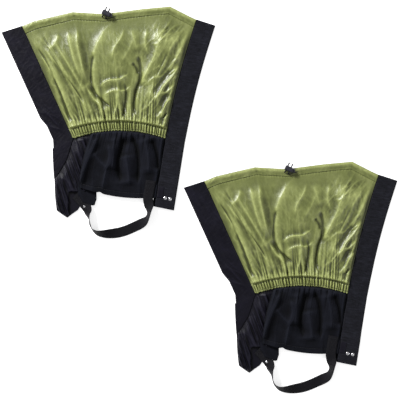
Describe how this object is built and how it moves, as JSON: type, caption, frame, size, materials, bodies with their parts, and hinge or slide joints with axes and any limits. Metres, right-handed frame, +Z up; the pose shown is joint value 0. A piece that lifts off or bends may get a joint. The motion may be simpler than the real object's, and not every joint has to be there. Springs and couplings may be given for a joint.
{
  "type": "hiking gaiters",
  "caption": "Pair of knee-high gaiters laid open: coated upper, gathered ankle, storm flap, tape closure, instep strap and cord lock.",
  "frame": {"origin": "centre of the pair's footprint, on the ground", "axes": "+Z up off the ground, +Y towards the knee ends, +X towards the closure strips"},
  "size_m": [0.7892, 0.774, 0.02],
  "materials": {
    "green_cloth": "coated, slightly shiny woven nylon",
    "flap_cloth": "smooth coated nylon",
    "matt_cloth": "matt woven nylon",
    "loop_tape": "matt loop pile",
    "hook_tape": "fine plastic hooks",
    "webbing": "woven webbing",
    "elastic_cord": "braided elastic cord",
    "elastic_band": "knitted elastic",
    "black_plastic": "moulded, satin",
    "steel": "bright plated"
  },
  "bodies": {
    "far_base": {"far_upper_panel": "green_cloth", "far_top_hem": "green_cloth", "far_drawcord_left": "elastic_cord", "far_drawcord_right": "elastic_cord", "far_ankle_casing": "green_cloth", "far_ankle_elastic": "elastic_band", "far_lower_panel": "matt_cloth", "far_lower_hem": "matt_cloth", "far_pleat_layer": "matt_cloth", "far_storm_flap_tail": "flap_cloth", "far_hook_tape_foot": "hook_tape", "far_strap_end_left": "webbing", "far_strap_end_right": "webbing", "far_strap_rivet": "steel"},
    "far_storm_flap": {"far_storm_flap": "flap_cloth", "far_hook_tape": "hook_tape"},
    "far_closure_strip": {"far_closure_strip": "matt_cloth", "far_loop_tape": "loop_tape", "far_corner_patch": "flap_cloth", "far_inner_rivet": "steel", "far_outer_rivet": "steel", "far_lace_hook": "steel"},
    "far_instep_strap": {"far_instep_strap": "webbing"},
    "far_cord_lock": {"far_cord_lock_body": "black_plastic", "far_cord_lock_spring": "steel"},
    "far_lock_button": {"far_cord_lock_button": "black_plastic"},
    "near_base": {"near_upper_panel": "green_cloth", "near_top_hem": "green_cloth", "near_drawcord_left": "elastic_cord", "near_drawcord_right": "elastic_cord", "near_ankle_casing": "green_cloth", "near_ankle_elastic": "elastic_band", "near_lower_panel": "matt_cloth", "near_lower_hem": "matt_cloth", "near_pleat_layer": "matt_cloth", "near_storm_flap_tail": "flap_cloth", "near_hook_tape_foot": "hook_tape", "near_strap_end_left": "webbing", "near_strap_end_right": "webbing", "near_strap_rivet": "steel"},
    "near_storm_flap": {"near_storm_flap": "flap_cloth", "near_hook_tape": "hook_tape"},
    "near_closure_strip": {"near_closure_strip": "matt_cloth", "near_loop_tape": "loop_tape", "near_corner_patch": "flap_cloth", "near_inner_rivet": "steel", "near_outer_rivet": "steel", "near_lace_hook": "steel"},
    "near_instep_strap": {"near_instep_strap": "webbing"},
    "near_cord_lock": {"near_cord_lock_body": "black_plastic", "near_cord_lock_spring": "steel"},
    "near_lock_button": {"near_cord_lock_button": "black_plastic"}
  },
  "joints": [
    {"name": "near_gaiter_slide", "type": "slide", "parent": "far_base", "child": "near_base", "axis": [1, 0, 0], "range_m": [0, 0.2]},
    {"name": "far_storm_flap_fold", "type": "hinge", "parent": "far_base", "child": "far_storm_flap", "pos_m": [-0.25345, 0.12297, 0.0061], "axis": [-0.4129, 0.9108, 0], "range_deg": [0, 120]},
    {"name": "far_closure_strip_fold", "type": "hinge", "parent": "far_base", "child": "far_closure_strip", "pos_m": [-0.06945, 0.12297, 0.0061], "axis": [-0.1597, -0.9872, 0], "range_deg": [0, 120]},
    {"name": "far_instep_strap_swing", "type": "hinge", "parent": "far_base", "child": "far_instep_strap", "pos_m": [-0.16145, -0.02203, 0.0018], "axis": [-1, 0, 0], "range_deg": [0, 90]},
    {"name": "far_cord_lock_slide", "type": "slide", "parent": "far_base", "child": "far_cord_lock", "axis": [0.4226, 0.9063, 0], "range_m": [0, 0.006]},
    {"name": "far_cord_lock_press", "type": "slide", "parent": "far_cord_lock", "child": "far_lock_button", "axis": [-0.9063, 0.4226, 0], "range_m": [0, 0.0015], "stiffness_N_per_m": 400, "springref_m": -0.0015, "deforming": ["far_cord_lock_spring"]},
    {"name": "near_storm_flap_fold", "type": "hinge", "parent": "near_base", "child": "near_storm_flap", "pos_m": [0.11055, -0.18703, 0.0061], "axis": [-0.4129, 0.9108, 0], "range_deg": [0, 120]},
    {"name": "near_closure_strip_fold", "type": "hinge", "parent": "near_base", "child": "near_closure_strip", "pos_m": [0.29455, -0.18703, 0.0061], "axis": [-0.1597, -0.9872, 0], "range_deg": [0, 120]},
    {"name": "near_instep_strap_swing", "type": "hinge", "parent": "near_base", "child": "near_instep_strap", "pos_m": [0.20255, -0.33203, 0.0018], "axis": [-1, 0, 0], "range_deg": [0, 90]},
    {"name": "near_cord_lock_slide", "type": "slide", "parent": "near_base", "child": "near_cord_lock", "axis": [0.4226, 0.9063, 0], "range_m": [0, 0.006]},
    {"name": "near_cord_lock_press", "type": "slide", "parent": "near_cord_lock", "child": "near_lock_button", "axis": [-0.9063, 0.4226, 0], "range_m": [0, 0.0015], "stiffness_N_per_m": 400, "springref_m": -0.0015, "deforming": ["near_cord_lock_spring"]}
  ]
}
